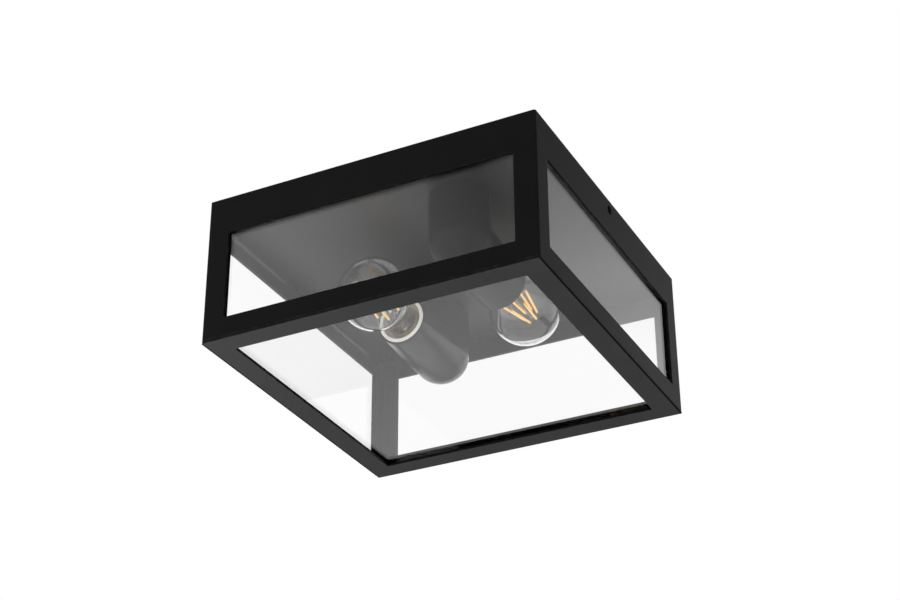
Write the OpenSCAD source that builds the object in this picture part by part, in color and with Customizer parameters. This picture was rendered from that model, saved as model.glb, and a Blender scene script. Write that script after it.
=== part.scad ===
// Square flush lantern for a porch ceiling: a black sheet-steel cover with five panes hangs
// on a shallow ceiling box, and two elbow lampholders lie head to tail inside it.
// Millimetres. The origin is the middle of the ceiling face, +Z is up, and -Y is the front.

/* [Cover] */
// Outside width and depth of the square cover
cover_w = 290; // [280:5:330]
// Drop of the cover from the ceiling to its underside
cover_h = 130; // [125:1:160]
// Thickness of the cover's sheet steel
sheet_t = 2.4; // [2:0.2:3]
// Width of the upright stile at each end of a side window
stile_w = 19.3; // [17:0.1:26]
// Height of the band above the side windows
top_band_h = 33; // [30:1:40]
// Height of the band below the side windows
low_band_h = 19; // [14:1:24]
// Width of the rim round the bottom window
rim_w = 19.3; // [17:0.1:26]
// Outside radius of the upright corners
corner_r = 2; // [1:0.2:2]
// Radius of the edge round the underside
edge_r = 0.9; // [0.4:0.1:1.4]

/* [Panes] */
// Thickness of every pane
glass_t = 3; // [2:0.5:4]
// Gap between a pane and the steel that it lies against
glass_gap = 0.2; // [0.1:0.05:0.4]
// Top edge of the side panes, below the ceiling
pane_top = 19; // [18:0.5:24]
// Thickness of the sponge seal under the bottom pane
seal_t = 0.8; // [0.5:0.1:1.5]
// Width of that seal
seal_w = 7; // [4:0.5:9]
// Thickness of the corner angles that hold the side panes
angle_t = 1; // [0.8:0.1:1.4]
// Width of each leg of a corner angle
angle_w = 13; // [8:0.5:15]

/* [Clamp screws] */
// Diameter of the two set screws that clamp the cover
set_d = 4; // [3:0.5:5]
// Length of a set screw
set_l = 4; // [3.6:0.1:4.2]
// Width across the flats of its socket
set_key = 2; // [1.5:0.1:2.4]
// Depth of that socket
set_key_depth = 2; // [1:0.1:2.6]
// Height of the screws, below the ceiling
set_drop = 9; // [7:0.5:11]
// Diameter of the press nut inside the sheet
nut_d = 9; // [7:0.5:11]
// Thickness of the press nut
nut_t = 1.4; // [1:0.1:1.6]

/* [Ceiling box] */
// Gap from the cover's inside to the box's flanges
box_gap = 2.1; // [1.8:0.1:3]
// Thickness of the box's sheet
box_t = 1.2; // [1:0.1:1.6]
// Depth of the box's flanges
box_h = 14.2; // [13.8:0.1:16]
// Outside radius of the box's corners
box_r = 3; // [2:0.5:5]
// Distance between the two ceiling slots
slot_spacing = 120; // [90:5:150]
// Width of a ceiling slot
slot_w = 5; // [4:0.5:6]
// Length of a ceiling slot from end to end
slot_l = 20; // [14:1:26]
// Diameter of the cable entry in the box
entry_d = 20; // [16:1:24]
// Bore of the rubber grommet in it
grommet_bore = 8; // [6:0.5:10]
// Diameter of the grommet's lip
grommet_lip_d = 26; // [25:0.5:30]
// Thickness of that lip
grommet_lip_t = 1.6; // [1.2:0.1:2]

/* [Lamp tray] */
// Thickness of the tray that closes the box
tray_t = 1.4; // [1:0.1:2]
// Distance of the corner screws from the tray's edges
tray_inset = 13.5; // [11:0.5:18]
// Width across the flats of the corner standoffs
standoff_af = 5.5; // [5:0.5:7]
// Diameter of the tray screws' threads
tray_screw_d = 3; // [2.5:0.5:3.5]
// Diameter of their heads
tray_head_d = 5.6; // [5:0.1:6.5]
// Height of their heads
tray_head_h = 1.8; // [1.2:0.1:2.2]
// Length of their threads
tray_screw_l = 8; // [6:1:10]

/* [Lampholders] */
// Distance of each lamp's axis from the middle, to the side
lamp_x = 50; // [47:1:58]
// Drop of the lamps' axes below the ceiling
lamp_drop = 56.5; // [54:0.5:66]
// Distance of each elbow's corner from the middle, front to back
elbow_y = 80.5; // [79:0.5:86]
// Outside radius of the elbow's upright and of its corner
elbow_r = 25; // [24.5:0.1:26]
// Outside radius at the mouth
mouth_r = 22.2; // [22:0.1:24]
// Wall of the elbow casting
elbow_wall = 1.6; // [1.2:0.1:1.7]
// Thickness of the elbow's flat top
elbow_top_t = 3; // [2.5:0.5:4]
// Distance of each mouth from the middle, front to back
mouth_y = 8; // [5:0.5:10]
// Diameter of the hollow threaded nipple through the tray
nipple_d = 10; // [9:0.5:12]
// Bore of the nipple
nipple_bore = 7.6; // [7:0.1:8]
// Height of the nipple above the tray
nipple_rise = 6; // [5:0.5:8]
// Width across the flats of its nut
nipple_nut_af = 14; // [13:1:17]
// Height of its nut
nipple_nut_h = 3; // [2:0.5:4]

/* [Sockets] */
// Gap between the porcelain and the casting
socket_gap = 0.3; // [0.2:0.05:0.4]
// How far the porcelain stands out of the mouth
socket_proud = 1; // [0:0.1:2]
// Inside radius of the porcelain's rim
rim_bore_r = 17.6; // [16:0.1:18]
// Depth of the rim's recess
rim_depth = 8.5; // [6:0.5:9]
// Thickness of the porcelain floor
floor_t = 5; // [4:0.5:6]
// Gap from the lamp's tip back to the porcelain floor
tip_gap = 2; // [1.6:0.1:3]
// Thickness of the screw shell's brass
shell_t = 0.5; // [0.4:0.05:0.7]
// Radial clearance between the lamp cap and the shell
cap_gap = 0.08; // [0.05:0.01:0.1]
// Width of the seat bar across the casting
bar_w = 9; // [8:0.5:11]
// Thickness of the seat bar
bar_t = 5; // [4:0.5:7]
// Distance of the two fixing screws from the lamp's axis
fix_r = 9; // [8:0.5:10]
// Diameter of the fixing screws
fix_d = 3; // [2.5:0.5:3.5]

/* [Lamps] */
// Radius of the bulb's globe
bulb_r = 30; // [28:0.5:31]
// Length of the lamp from its tip contact to the end of the globe
bulb_l = 105; // [102:1:110]
// Radius of the bulb's neck
neck_r = 13.5; // [13.3:0.1:14.5]
// Wall of the glass
bulb_wall = 0.9; // [0.6:0.1:1.5]
// Radius of the screw cap
cap_r = 13.2; // [12.8:0.1:13.3]
// Length of the cap from the tip contact to the glass
cap_l = 27; // [25:0.5:29]
// Length of the threaded part of the cap
cap_thread_l = 19; // [16:1:21]
// Wall of the cap
cap_t = 0.4; // [0.3:0.05:0.6]
// Number of light strips in each lamp
strip_n = 6; // [4:1:8]
// Radius of a light strip
strip_r = 1.1; // [0.8:0.1:1.4]
// Length of a light strip
strip_l = 38; // [30:1:39]
// Radius of the ring of strips nearest the cap
strip_low_r = 12; // [9:0.5:13]
// Radius of the ring of strips nearest the globe's end
strip_high_r = 6; // [5:0.5:9]
// Distance of the strips' far ends past the middle of the globe
strip_reach = 13; // [4:1:16]
// Turn of the first strip about the lamp's axis
strip_turn = 37.5; // [0:0.5:60]

/* [Terminal block and wires] */
// Distance between the poles of the terminal block
pole_pitch = 10; // [9:0.5:11]
// Depth of the block, front to back
block_d = 17; // [15:1:20]
// Height of the block
block_h = 10.5; // [9:0.1:10.8]
// Radius of the brass tube in each pole
pole_r = 2.9; // [2.9:0.1:3]
// Wall of that tube
pole_wall = 0.8; // [0.5:0.1:0.8]
// Distance of the block from the middle, towards the back
block_y = 38; // [34:1:44]
// Radius of a wire with its insulation
wire_r = 1; // [0.8:0.1:1.1]

/* [Hidden] */
$fn = 64;
eps = 0.01;
half_w = cover_w / 2;
inner_half = half_w - sheet_t;
wall_h = cover_h - sheet_t;
window_half = half_w - stile_w;
window_low = -cover_h + low_band_h;
hole_half = half_w - rim_w;

pane_out = inner_half - glass_gap;
pane_in = pane_out - glass_t;
angle_gap = 0.3;
angle_out = pane_in - angle_gap;
seal_half = angle_out - angle_t - 0.8;
seal_top = -wall_h + seal_t;

box_half = inner_half - box_gap;
box_inner = box_half - box_t;
tray_top = -box_h;
tray_low = -box_h - tray_t;
tray_fix = box_half - tray_inset;
screw_fit = 0.05;
screw_free = 0.2;
face_gap = 0.1;

// Lamp space: each holder is drawn along +Z from the lamp's tip contact at 0, with +Y up,
// and at_lamp() lays it down, the left one facing front and the right one facing back.
cap_y = mouth_y + cap_l;
mouth_s = cap_l;
corner_s = cap_y - elbow_y;
up_l = lamp_drop - box_h - tray_t;
floor_s = -tip_gap;
back_s = floor_s - floor_t;
front_s = mouth_s + socket_proud;
shelf_s = front_s - rim_depth;
shell_in = cap_r + cap_gap;
shell_out = shell_in + shell_t;
mouth_in = mouth_r - elbow_wall;
elbow_in = elbow_r - elbow_wall;
porcelain_r = mouth_in - socket_gap;
globe_s = bulb_l - bulb_r;

// The bulb's shoulder is an arc that touches the neck and the globe.
shoulder_l = globe_s - cap_l;
shoulder_r = (shoulder_l * shoulder_l + neck_r * neck_r - bulb_r * bulb_r) / (2 * (bulb_r - neck_r));
shoulder_a = atan2(shoulder_l, neck_r + shoulder_r);
arc_steps = 14;
strip_start = globe_s + strip_reach - strip_l;
strip_lean = asin((strip_low_r - strip_high_r) / strip_l);
strip_end = strip_start + strip_l * cos(strip_lean);

black = [0.09, 0.09, 0.1];

// ---- shared shapes ----

// Square of half-width h with its four corners rounded to r
module round_square(h, r) {
    difference() {
        square(2 * h, center = true);
        for (a = [0:90:270]) rotate(a) translate([h - r, h - r]) corner_waste(r);
    }
}

// What a round of radius r takes off a square corner
module corner_waste(r) {
    difference() {
        square(r + eps);
        circle(r);
    }
}

module pipe(r_out, r_in, l) {
    difference() {
        cylinder(h = l, r = r_out);
        translate([0, 0, -eps]) cylinder(h = l + 2 * eps, r = r_in);
    }
}

module hex_prism(af, l) {
    cylinder(h = l, r = af / 2 / cos(30), $fn = 6);
}

// Lays lamp space down at the left lamp (side 0) or the right one (side 1)
module at_lamp(side) {
    rotate([0, 0, 180 * side]) translate([-lamp_x, cap_y, -lamp_drop]) rotate([90, 0, 0]) children();
}

// ---- cover ----

// Front wall: it runs the whole width and its ends carry the rounded upright corners
module end_wall() {
    difference() {
        translate([0, 0, -wall_h]) linear_extrude(wall_h) difference() {
            translate([-half_w, -half_w]) square([cover_w, sheet_t]);
            for (m = [0, 1]) mirror([m, 0]) rotate(-90)
                translate([half_w - corner_r, half_w - corner_r]) corner_waste(corner_r);
        }
        window_cut();
    }
}

// Right wall turned to the front: it stands between the two end walls
module side_wall() {
    difference() {
        translate([-inner_half, -half_w, -wall_h]) cube([2 * inner_half, sheet_t, wall_h]);
        window_cut();
        translate([0, -half_w - eps, -set_drop]) rotate([-90, 0, 0])
            cylinder(h = sheet_t + 2 * eps, d = set_d + 2 * screw_fit);
    }
}

module window_cut() {
    translate([-window_half, -half_w - eps, window_low])
        cube([2 * window_half, sheet_t + 2 * eps, -top_band_h - window_low]);
}

module front_panel() color(black) end_wall();
module back_panel() color(black) rotate([0, 0, 180]) end_wall();
module right_panel() color(black) rotate([0, 0, 90]) side_wall();
module left_panel() color(black) rotate([0, 0, -90]) side_wall();

// Bottom frame: its outer lower edge is eased all round
module bottom_panel() color(black) difference() {
    translate([0, 0, -cover_h]) linear_extrude(sheet_t) difference() {
        round_square(half_w, corner_r);
        square(2 * hole_half, center = true);
    }
    for (a = [0:90:270]) rotate(a) translate([half_w - edge_r, -half_w - 1, -cover_h + edge_r])
        rotate([-90, 0, 0]) linear_extrude(cover_w + 2) corner_waste(edge_r);
}

// Side pane on the front, standing on the bottom frame
module pane(half) {
    translate([-half, -pane_out, -wall_h]) cube([2 * half, glass_t, wall_h - pane_top]);
}

module front_glass() color("azure", 0.3) pane(pane_out);
module back_glass() color("azure", 0.3) rotate([0, 0, 180]) pane(pane_out);
module right_glass() color("azure", 0.3) rotate([0, 0, 90]) pane(pane_in - glass_gap);
module left_glass() color("azure", 0.3) rotate([0, 0, -90]) pane(pane_in - glass_gap);

module bottom_glass() color("azure", 0.3)
    translate([0, 0, seal_top]) linear_extrude(glass_t) square(2 * seal_half, center = true);

module bottom_glass_seal() color("dimgray")
    translate([0, 0, -wall_h]) linear_extrude(seal_t) difference() {
        square(2 * seal_half, center = true);
        square(2 * (seal_half - seal_w), center = true);
    }

// Four upright angles, one in each corner, that hold the side panes against the walls
module glass_corner_angles() color(black)
    for (a = [0:90:270]) rotate(a) translate([0, 0, -wall_h]) linear_extrude(wall_h - pane_top)
        difference() {
            translate([angle_out - angle_w, angle_out - angle_w]) square(angle_w);
            translate([angle_out - angle_w - 1, angle_out - angle_w - 1])
                square(angle_w + 1 - angle_t);
        }

module press_nuts() color("silver") for (a = [90, -90]) rotate([0, 0, a])
    translate([0, -inner_half, -set_drop]) rotate([-90, 0, 0])
        pipe(nut_d / 2, set_d / 2 + screw_fit, nut_t);

// Set screw on the front: its point all but touches the box's flange
module set_screw() {
    translate([0, -box_half - face_gap, -set_drop]) rotate([90, 0, 0]) difference() {
        cylinder(h = set_l, d = set_d);
        translate([0, 0, set_l - set_key_depth]) hex_prism(set_key, set_key_depth + 1);
    }
}

module right_clamp_screw() color("dimgray") rotate([0, 0, 90]) set_screw();
module left_clamp_screw() color("dimgray") rotate([0, 0, -90]) set_screw();

// ---- ceiling box and tray ----

module ceiling_box() color("silver") difference() {
    translate([0, 0, -box_h]) linear_extrude(box_h) round_square(box_half, box_r);
    translate([0, 0, -box_h - eps]) linear_extrude(box_h - box_t + eps)
        round_square(box_inner, box_r - box_t);
    for (m = [-1, 1]) translate([m * slot_spacing / 2, 0, -box_t - eps]) slot_cut();
    translate([0, 0, -box_t - eps]) cylinder(h = box_t + 2 * eps, d = entry_d);
    translate([pole_pitch / 2, block_y, -box_t - eps])
        cylinder(h = box_t + 2 * eps, d = clamp_d + 2 * screw_fit);
}

module slot_cut() {
    run = slot_l - slot_w;
    linear_extrude(box_t + 2 * eps) {
        square([run, slot_w], center = true);
        for (m = [-1, 1]) translate([m * run / 2, 0]) circle(d = slot_w);
    }
}

// Rubber grommet that lines the cable entry, with its lip under the box
module cable_grommet() color("darkslategray") difference() {
    union() {
        translate([0, 0, -box_t - grommet_lip_t]) cylinder(h = grommet_lip_t, d = grommet_lip_d);
        translate([0, 0, -box_t]) cylinder(h = box_t, d = entry_d);
    }
    translate([0, 0, -box_t - grommet_lip_t - eps])
        cylinder(h = box_t + grommet_lip_t + 2 * eps, d = grommet_bore);
}

module at_tray_corners() for (a = [0:90:270]) rotate(a) translate([tray_fix, tray_fix]) children();

module tray_standoffs() color("silver") at_tray_corners() translate([0, 0, -box_h]) difference() {
    hex_prism(standoff_af, box_h - box_t);
    translate([0, 0, -eps]) cylinder(h = box_h - box_t - 1, d = tray_screw_d + 2 * screw_fit);
}

module lamp_tray() color(black) difference() {
    translate([0, 0, tray_low]) linear_extrude(tray_t) round_square(box_half, box_r);
    at_tray_corners() translate([0, 0, tray_low - eps])
        cylinder(h = tray_t + 2 * eps, d = tray_screw_d + 2 * screw_free);
    for (side = [0, 1]) at_nipple(side) translate([0, 0, tray_low - eps])
        cylinder(h = tray_t + 2 * eps, d = nipple_d + 2 * screw_free);
}

// Pan-head screws driven up into the standoffs
module tray_screws() color("dimgray") at_tray_corners() translate([0, 0, tray_low]) {
    cylinder(h = tray_screw_l, d = tray_screw_d);
    translate([0, 0, -tray_head_h]) cylinder(h = tray_head_h, d = tray_head_d);
}

module at_nipple(side) rotate([0, 0, 180 * side]) translate([-lamp_x, elbow_y]) children();

// Hollow threaded tubes that join the elbows to the tray and let the wires through
module nipples() color("gold") for (side = [0, 1]) at_nipple(side)
    translate([0, 0, tray_low - elbow_top_t])
        pipe(nipple_d / 2, nipple_bore / 2, elbow_top_t + tray_t + nipple_rise);

module nipple_nuts() color("silver") for (side = [0, 1]) at_nipple(side)
    translate([0, 0, tray_top]) difference() {
        hex_prism(nipple_nut_af, nipple_nut_h);
        translate([0, 0, -eps])
            cylinder(h = nipple_nut_h + 2 * eps, d = nipple_d + 2 * screw_fit);
    }

// ---- terminal block, earth ----

pole_n = 3;
pole_end = 1;
turret_r = 3.8;
base_h = 5;
tube_drop = 5.6;
clamp_y = 4.6;
clamp_d = 2.6;
clamp_l = 3.2;
clamp_head_d = 3.4;
clamp_head_h = 1.4;
// Two wires lie side by side in a tube, a little above its middle, over the screws' tips
wire_side = wire_r + 0.03;
wire_lift = 0.3;
clamp_tip = tube_drop + wire_r - wire_lift + 0.05;

// Puts children at each pole of the block, on the ceiling box's underside
module at_poles() for (i = [-1:1]) translate([i * pole_pitch, block_y, -box_t]) children();

module at_clamps() at_poles() for (m = [-1, 1]) translate([0, m * clamp_y, 0]) children();

module terminal_block() color("ivory") difference() {
    union() {
        translate([-1.5 * pole_pitch, block_y - block_d / 2, -box_t - base_h])
            cube([pole_n * pole_pitch, block_d, base_h]);
        at_clamps() translate([0, 0, -block_h]) cylinder(h = block_h, r = turret_r);
        at_poles() translate([-turret_r, -clamp_y, -tube_drop - turret_r])
            cube([2 * turret_r, 2 * clamp_y, tube_drop + turret_r]);
    }
    at_poles() translate([0, block_d, -tube_drop]) rotate([90, 0, 0])
        cylinder(h = 2 * block_d, r = pole_r + screw_fit);
    at_clamps() translate([0, 0, -block_h - eps])
        cylinder(h = block_h - tube_drop, d = clamp_d + 2 * screw_free);
    translate([pole_pitch / 2, block_y, -box_t - block_h]) {
        cylinder(h = block_h + eps, d = clamp_d + 2 * screw_free);
        cylinder(h = block_h - base_h, d = clamp_head_d + 2 * screw_free);
    }
}

// One brass tube in each pole, cross-drilled for its two clamping screws
module terminal_tubes() color("gold") difference() {
    at_poles() translate([0, block_d / 2 - pole_end, -tube_drop]) rotate([90, 0, 0])
        pipe(pole_r, pole_r - pole_wall, block_d - 2 * pole_end);
    at_clamps() translate([0, 0, -tube_drop - 2 * pole_r])
        cylinder(h = 2 * pole_r, d = clamp_d + 2 * screw_fit);
}

module terminal_screws() color("silver") at_clamps()
    translate([0, 0, -clamp_tip - clamp_l]) cylinder(h = clamp_l, d = clamp_d);

// Screw that holds the block up against the box
module terminal_block_screw() color("silver") translate([pole_pitch / 2, block_y, 0]) {
    translate([0, 0, -box_t - base_h]) cylinder(h = base_h + box_t, d = clamp_d);
    translate([0, 0, -box_t - base_h - clamp_head_h]) cylinder(h = clamp_head_h, d = clamp_head_d);
}

earth_d = 4;
earth_x = -26;
earth_y = 18;
earth_l = 8;
earth_head_t = 0.8;
earth_nut_h = 2.4;
earth_ring_t = 0.8;
earth_ring_r = 4;
barrel_r = 1.7;
barrel_x = 4.4;
barrel_l = 5;
barrel_drop = 2.2;
barrel_floor = 1;

module at_earth() translate([earth_x, earth_y, -box_t]) children();

// Weld stud under the box, with its thin round foot
module earth_stud() color("gold") at_earth() {
    translate([0, 0, -earth_l]) cylinder(h = earth_l, d = earth_d);
    translate([0, 0, -earth_head_t]) cylinder(h = earth_head_t, d = earth_d + 2);
}

// Ring terminal with the short barrel that grips the earth wire
module earth_ring() color("gold") at_earth() difference() {
    union() {
        translate([0, 0, -earth_head_t - earth_ring_t]) linear_extrude(earth_ring_t) {
            circle(earth_ring_r);
            translate([0, -barrel_r + 0.4]) square([barrel_x + 1, 2 * barrel_r - 0.8]);
        }
        translate([barrel_x, 0, -barrel_drop]) rotate([0, 90, 0])
            cylinder(h = barrel_l, r = barrel_r);
    }
    translate([0, 0, -earth_l]) cylinder(h = earth_l, d = earth_d + 2 * screw_fit);
    translate([barrel_x + barrel_floor, 0, -barrel_drop]) rotate([0, 90, 0])
        cylinder(h = barrel_l, r = wire_r + wire_gap);
}

module earth_nuts() color("gold") at_earth() for (i = [1, 2])
    translate([0, 0, -earth_head_t - earth_ring_t - i * earth_nut_h]) earth_nut();

module earth_nut() difference() {
    hex_prism(7, earth_nut_h);
    translate([0, 0, -eps]) cylinder(h = earth_nut_h + 2 * eps, d = earth_d + 2 * screw_fit);
}

// ---- lampholders ----

// Cast elbow: an upright that hangs from the tray, a round corner, and a cup that narrows
// to its mouth. Inside, a bar crosses the cup and carries the porcelain.
module elbow() {
    difference() {
        elbow_body(elbow_r, mouth_r, up_l);
        elbow_hollow();
        translate([0, up_l - elbow_top_t - eps, corner_s]) rotate([-90, 0, 0])
            cylinder(h = elbow_top_t + 2 * eps, d = nipple_d + 2 * screw_fit);
    }
    seat_bar();
}

module elbow_body(r, r_mouth, l_up) {
    translate([0, 0, corner_s]) {
        cylinder(h = mouth_s - corner_s, r1 = r, r2 = r_mouth);
        sphere(r);
        rotate([-90, 0, 0]) cylinder(h = l_up, r = r);
    }
}

module elbow_hollow() {
    elbow_body(elbow_in, mouth_in, up_l - elbow_top_t);
    translate([0, 0, mouth_s - eps]) cylinder(h = 1, r = mouth_in);
}

// Bar across the cup behind the porcelain, tapped for its two screws
module seat_bar() {
    difference() {
        intersection() {
            translate([-elbow_r, -bar_w / 2, back_s - bar_t]) cube([2 * elbow_r, bar_w, bar_t]);
            translate([0, 0, corner_s])
                cylinder(h = mouth_s - corner_s, r1 = elbow_r - 0.4, r2 = mouth_r - 0.4);
        }
        at_socket_screws() translate([0, 0, back_s - bar_t - eps])
            cylinder(h = bar_t + 2 * eps, d = fix_d + 2 * screw_fit);
    }
}

module at_socket_screws() for (m = [-1, 1]) translate([m * fix_r, 0, 0]) children();

module left_elbow() color(black) at_lamp(0) elbow();
module right_elbow() color(black) at_lamp(1) elbow();

// Porcelain socket: rim round the lamp's neck, bore for the screw shell, floor
module socket() difference() {
    translate([0, 0, back_s]) cylinder(h = front_s - back_s, r = porcelain_r);
    translate([0, 0, shelf_s]) cylinder(h = rim_depth + eps, r = rim_bore_r);
    translate([0, 0, floor_s]) cylinder(h = shelf_s - floor_s + eps, r = shell_out + face_gap);
    at_socket_screws() translate([0, 0, back_s - eps])
        cylinder(h = floor_t + 2 * eps, d = fix_d + 2 * screw_free);
    for (m = [-1, 1]) translate([0, m * terminal_y, back_s - eps])
        cylinder(h = floor_t + 2 * eps, d = rivet_d + 2 * screw_free);
}

module left_socket() color("ivory") at_lamp(0) socket();
module right_socket() color("ivory") at_lamp(1) socket();

// Brass screw shell with a turned-in foot and the tab that lies over its rivet
module screw_shell() translate([0, 0, floor_s]) {
    pipe(shell_out, shell_in, shelf_s - floor_s - 0.5);
    pipe(shell_in + eps, shell_in - 1.6, shell_t);
    translate([-contact_w / 2, terminal_y - 2, 0])
        cube([contact_w, shell_in - terminal_y + 1, shell_t]);
}

module left_screw_shell() color("gold") at_lamp(0) screw_shell();
module right_screw_shell() color("gold") at_lamp(1) screw_shell();

contact_w = 5;
contact_t = 0.6;
contact_top = -0.3;
terminal_y = 8;
rivet_d = 2.4;
lug = 4.4;
lug_shift = 1.4;
lug_floor = 1.4;
wire_gap = 0.15;

// Springy brass tongue that rises from its rivet to the lamp's tip
module tip_contact() {
    rise = contact_top - floor_s - contact_t;
    rotate([0, -90, 0]) translate([0, 0, -contact_w / 2]) linear_extrude(contact_w) polygon([
        [floor_s, -terminal_y - 2], [floor_s + contact_t, -terminal_y - 2],
        [floor_s + contact_t, -5], [contact_top, -2.5],
        [contact_top, 2.5], [contact_top - contact_t, 2.5],
        [contact_top - contact_t, -2.2], [contact_top - contact_t - rise, -4.7]
    ]);
}

module left_tip_contact() color("gold") at_lamp(0) tip_contact();
module right_tip_contact() color("gold") at_lamp(1) tip_contact();

// Pan-head screws through the porcelain floor into the seat bar
module socket_screws() color("silver") for (side = [0, 1]) at_lamp(side) at_socket_screws() {
    translate([0, 0, back_s - bar_t]) cylinder(h = bar_t + floor_t, d = fix_d);
    translate([0, 0, floor_s]) cylinder(h = 1.6, d = fix_d + 2.2);
}

// Brass lugs behind the porcelain, each with its rivet through the floor
module socket_terminals() color("gold") for (side = [0, 1]) at_lamp(side)
    for (m = [-1, 1]) translate([0, m * terminal_y, 0]) difference() {
        union() {
            translate([-lug / 2, -lug / 2 + m * lug_shift, back_s - lug]) cube([lug, lug, lug]);
            translate([0, 0, back_s - eps]) cylinder(h = floor_t + eps, d = rivet_d);
        }
        translate([0, m * lug_shift, back_s - lug - eps])
            cylinder(h = lug - lug_floor, r = wire_r + wire_gap);
    }

// ---- wires ----

wire_sides = 8;
wire_bend = 3;
tube_z = -box_t - tube_drop + wire_lift;
block_front = block_y + block_d / 2;
lug_y = cap_y - back_s + lug_floor;

// Last part of a left route: over the nipple, down it and round to the lug. m is 1 for the
// upper lug and -1 for the lower one. The right lamp's routes are turned half round.
function tail(m) = [
    [-lamp_x, elbow_y - 1.3 * m, tray_top + nipple_rise + 2],
    [-lamp_x, elbow_y - 1.3 * m, tray_low - elbow_top_t - 2],
    [-lamp_x, elbow_y - 3.5 - 2.5 * m, -lamp_drop + 5 + 8 * m],
    [-lamp_x, lug_y + 14, -lamp_drop + m * (terminal_y + lug_shift)],
    [-lamp_x, lug_y, -lamp_drop + m * (terminal_y + lug_shift)]
];
function head(x) = [[x, block_y + 2.5, tube_z], [x, block_front + 3, tube_z]];
function half_turn(p) = [for (q = p) [-q[0], -q[1], q[2]]];

left_live_route = concat(
    head(-pole_pitch - wire_side),
    [[-lamp_x + 16, elbow_y - 4.5, -7.5]],
    tail(-1));
left_neutral_route = concat(
    head(pole_pitch - wire_side),
    [[-lamp_x + 28, elbow_y - 20.5, -3.8]],
    tail(1));
right_live_route = concat(
    head(-pole_pitch + wire_side),
    [[pole_pitch + 6, block_front + 10, -11.5], [24, 20, -11.5], [lamp_x - 14, -elbow_y + 4.5, -7.5]],
    half_turn(tail(-1)));
right_neutral_route = concat(
    head(pole_pitch + wire_side),
    [[pole_pitch + 14, block_front + 8, -5], [40, 20, -5], [lamp_x - 4, -elbow_y + 20.5, -5]],
    half_turn(tail(1)));
earth_route = [
    [0, block_y - 2.5, tube_z],
    [0, block_y - block_d / 2 - 3, tube_z],
    [-4, earth_y + 3, tube_z],
    [earth_x + barrel_x + barrel_l + 3, earth_y, -box_t - barrel_drop],
    [earth_x + barrel_x + barrel_floor, earth_y, -box_t - barrel_drop]
];

// A route with each of its corners cut by a short chord
function step(a, b) = a + unit(b - a) * min(wire_bend, 0.45 * norm(b - a));
function smooth(p) = concat(
    [p[0]],
    [for (i = [1:len(p) - 2]) each [step(p[i], p[i - 1]), step(p[i], p[i + 1])]],
    [p[len(p) - 1]]);
function unit(v) = v / norm(v);
function heading(p, i) = unit(p[min(i + 1, len(p) - 1)] - p[max(i - 1, 0)]);
// Each ring's side vector is the last one with its part along the new heading taken out,
// so that the tube doesn't twist.
function sides(p, i = 0, last = [0.31, 0.17, 0.93]) =
    i == len(p) ? [] :
    let (h = heading(p, i), s = unit(last - (last * h) * h))
    concat([s], sides(p, i + 1, s));

module tube(route, r) {
    p = smooth(route);
    s = sides(p);
    n = wire_sides;
    points = [for (i = [0:len(p) - 1], k = [0:n - 1])
        let (u = s[i], v = cross(heading(p, i), u), a = 360 * k / n)
        p[i] + r * (cos(a) * u + sin(a) * v)];
    skin = [for (i = [0:len(p) - 2], k = [0:n - 1])
        let (a = i * n + k, b = i * n + (k + 1) % n) each [[a, b, a + n], [b, b + n, a + n]]];
    ends = [[for (k = [n - 1:-1:0]) k], [for (k = [0:n - 1]) (len(p) - 1) * n + k]];
    polyhedron(points = points, faces = concat(
        [for (f = skin) [f[0], f[2], f[1]]], [for (f = ends) [for (k = [n - 1:-1:0]) f[k]]]));
}

module left_live_wire() color("saddlebrown") tube(left_live_route, wire_r);
module left_neutral_wire() color("steelblue") tube(left_neutral_route, wire_r);
module right_live_wire() color("saddlebrown") tube(right_live_route, wire_r);
module right_neutral_wire() color("steelblue") tube(right_neutral_route, wire_r);
module earth_wire() color("yellowgreen") tube(earth_route, wire_r);

// ---- lamps ----

// Half outline of the glass, from the neck to the end of the globe
function bulb_outline(r_globe, r_neck, r_arc) = concat(
    [for (i = [0:arc_steps]) let (a = shoulder_a * i / arc_steps)
        [r_neck + (neck_r - r_neck + shoulder_r) - r_arc * cos(a), cap_l + r_arc * sin(a)]],
    [for (i = [1:arc_steps]) let (a = 90 - shoulder_a + (180 - (90 - shoulder_a)) * i / arc_steps)
        [r_globe * sin(a), globe_s - r_globe * cos(a)]]);

module bulb_glass() rotate_extrude() difference() {
    polygon(concat([[0, tube_s], [tube_r, tube_s], [tube_r, cap_l]],
        bulb_outline(bulb_r, neck_r, shoulder_r)));
    polygon(concat([[0, tube_s - eps], [tube_r - bulb_wall, tube_s - eps], [tube_r - bulb_wall, cap_l]],
        bulb_outline(bulb_r - bulb_wall, neck_r - bulb_wall, shoulder_r + bulb_wall)));
}

tip_h = 1.6;
tip_r = 4.6;
tip_step = 0.6;
foot_s = 4;
foot_t = 1.4;
insulator_r = 9;
skirt_r = cap_r - 0.4;
// The glass neck ends in a narrower tube inside the cap's skirt.
tube_s = cap_l - 5;
tube_r = skirt_r - cap_t - 0.2;
flare_r = tube_r - bulb_wall;

// Screw cap: threaded sleeve, plain skirt and a foot that closes on the insulator
module bulb_cap() rotate_extrude() polygon([
    [insulator_r - tip_step, tip_h], [insulator_r, tip_h], [cap_r - foot_t, foot_s],
    [cap_r, foot_s + foot_t], [cap_r, cap_thread_l], [skirt_r, cap_thread_l + 0.5], [skirt_r, cap_l],
    [skirt_r - cap_t, cap_l], [skirt_r - cap_t, foot_s + 2 * foot_t], [cap_r - 2 * foot_t, foot_s + 0.5],
    [insulator_r - tip_step, foot_s]
]);

// Black glass disc between the cap and its tip
module bulb_insulator() rotate_extrude() polygon([
    [0, tip_h - tip_step], [tip_r, tip_h - tip_step], [insulator_r - tip_step, tip_h],
    [insulator_r - tip_step, foot_s], [0, foot_s]
]);

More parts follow.
